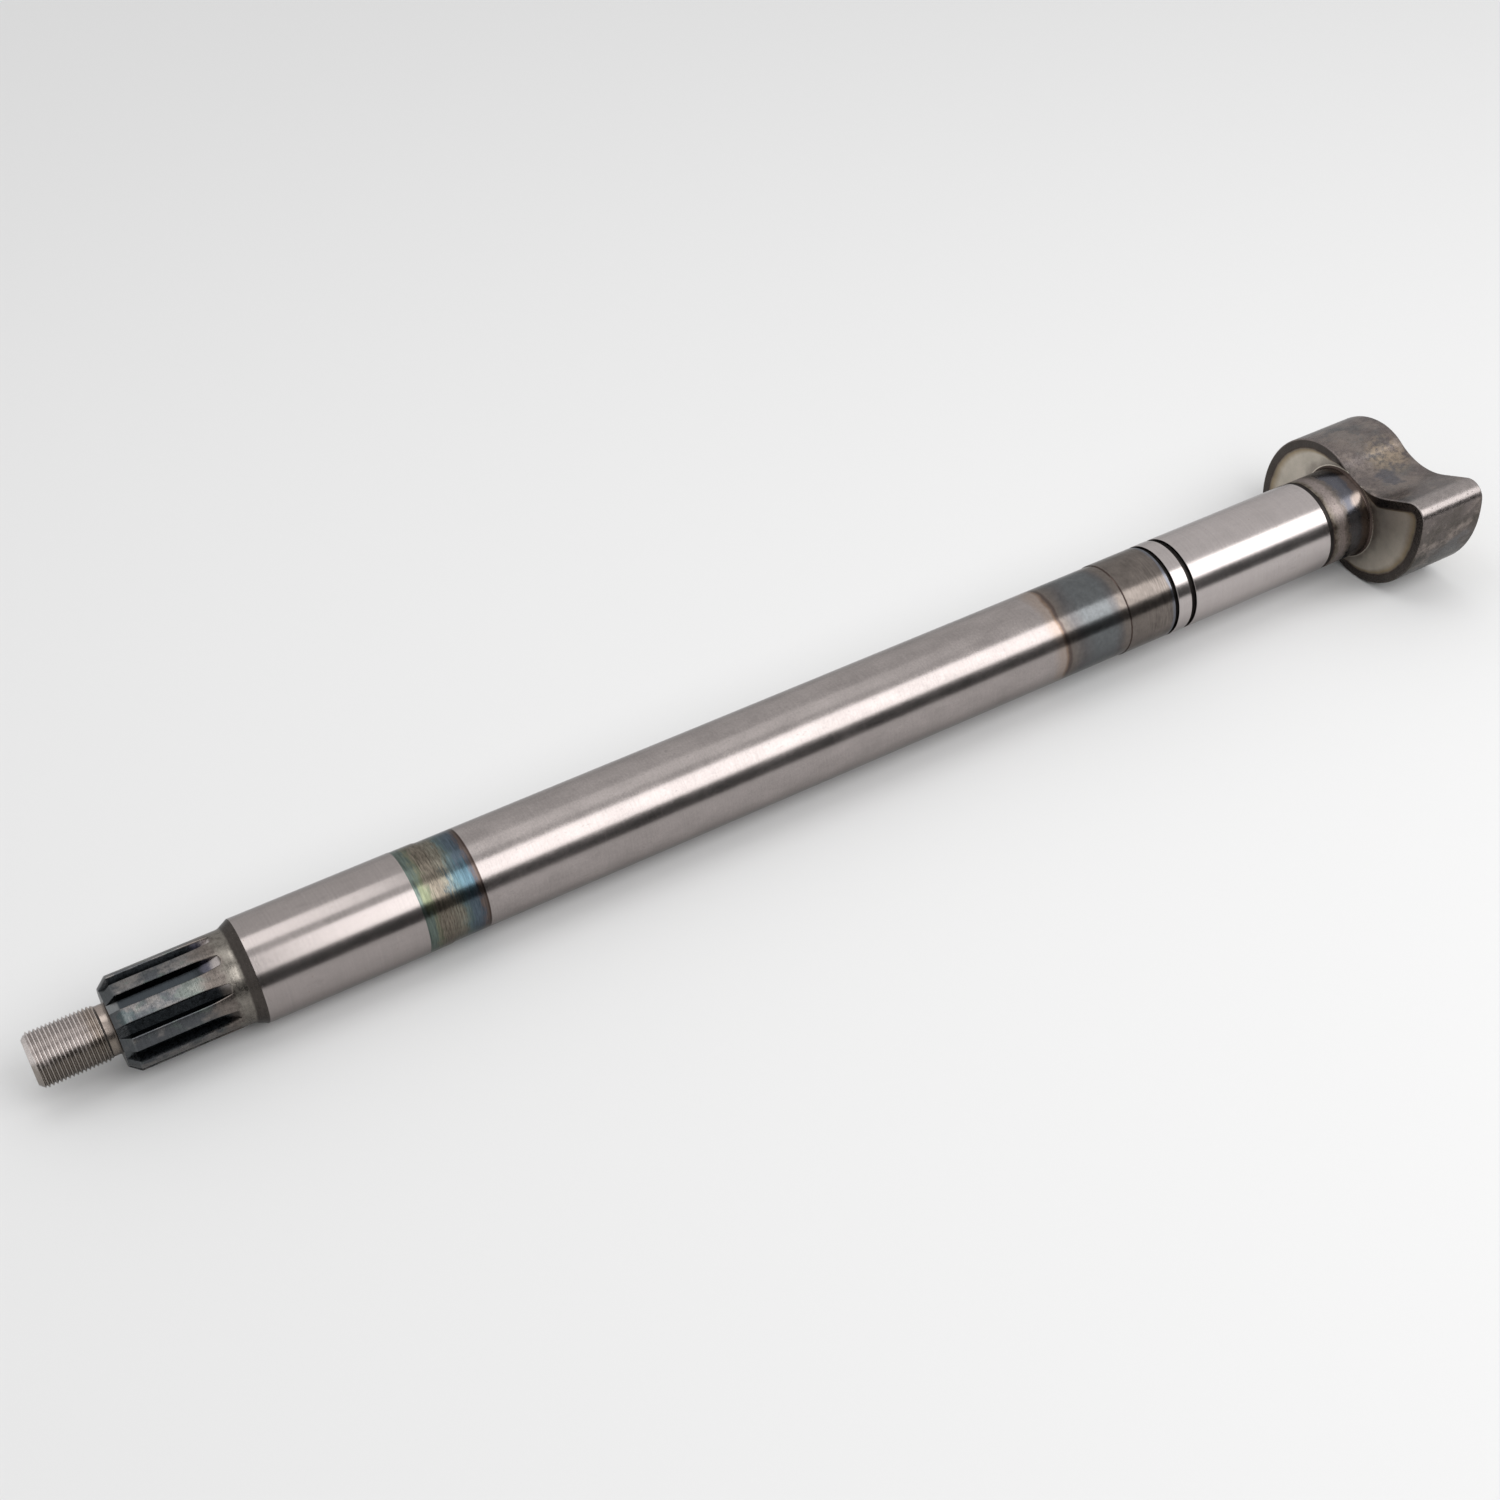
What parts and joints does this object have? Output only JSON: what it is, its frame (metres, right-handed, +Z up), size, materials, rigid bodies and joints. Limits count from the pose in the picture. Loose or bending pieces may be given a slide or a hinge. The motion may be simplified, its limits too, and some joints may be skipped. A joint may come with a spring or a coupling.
{
  "type": "brake camshaft",
  "caption": "Drum brake camshaft: a ground shaft with a threaded stub and straight-sided splines at one end and an S-shaped cam head at the other.",
  "frame": {"origin": "on the shaft's axis, halfway along the bearing journal beside the splines", "axes": "+X along the shaft from the threaded end to the cam head; +Z up, with the head's lobes level so that the shaft lies as it would on a bench; +Y away from the picture's viewer"},
  "size_m": [0.6497, 0.1008, 0.055],
  "materials": {
    "steel": "ground journals and turned steel, with heat tint bands and a dark hardened rim round the cam head"
  },
  "bodies": {
    "root": {"camshaft": "steel"}
  },
  "joints": []
}
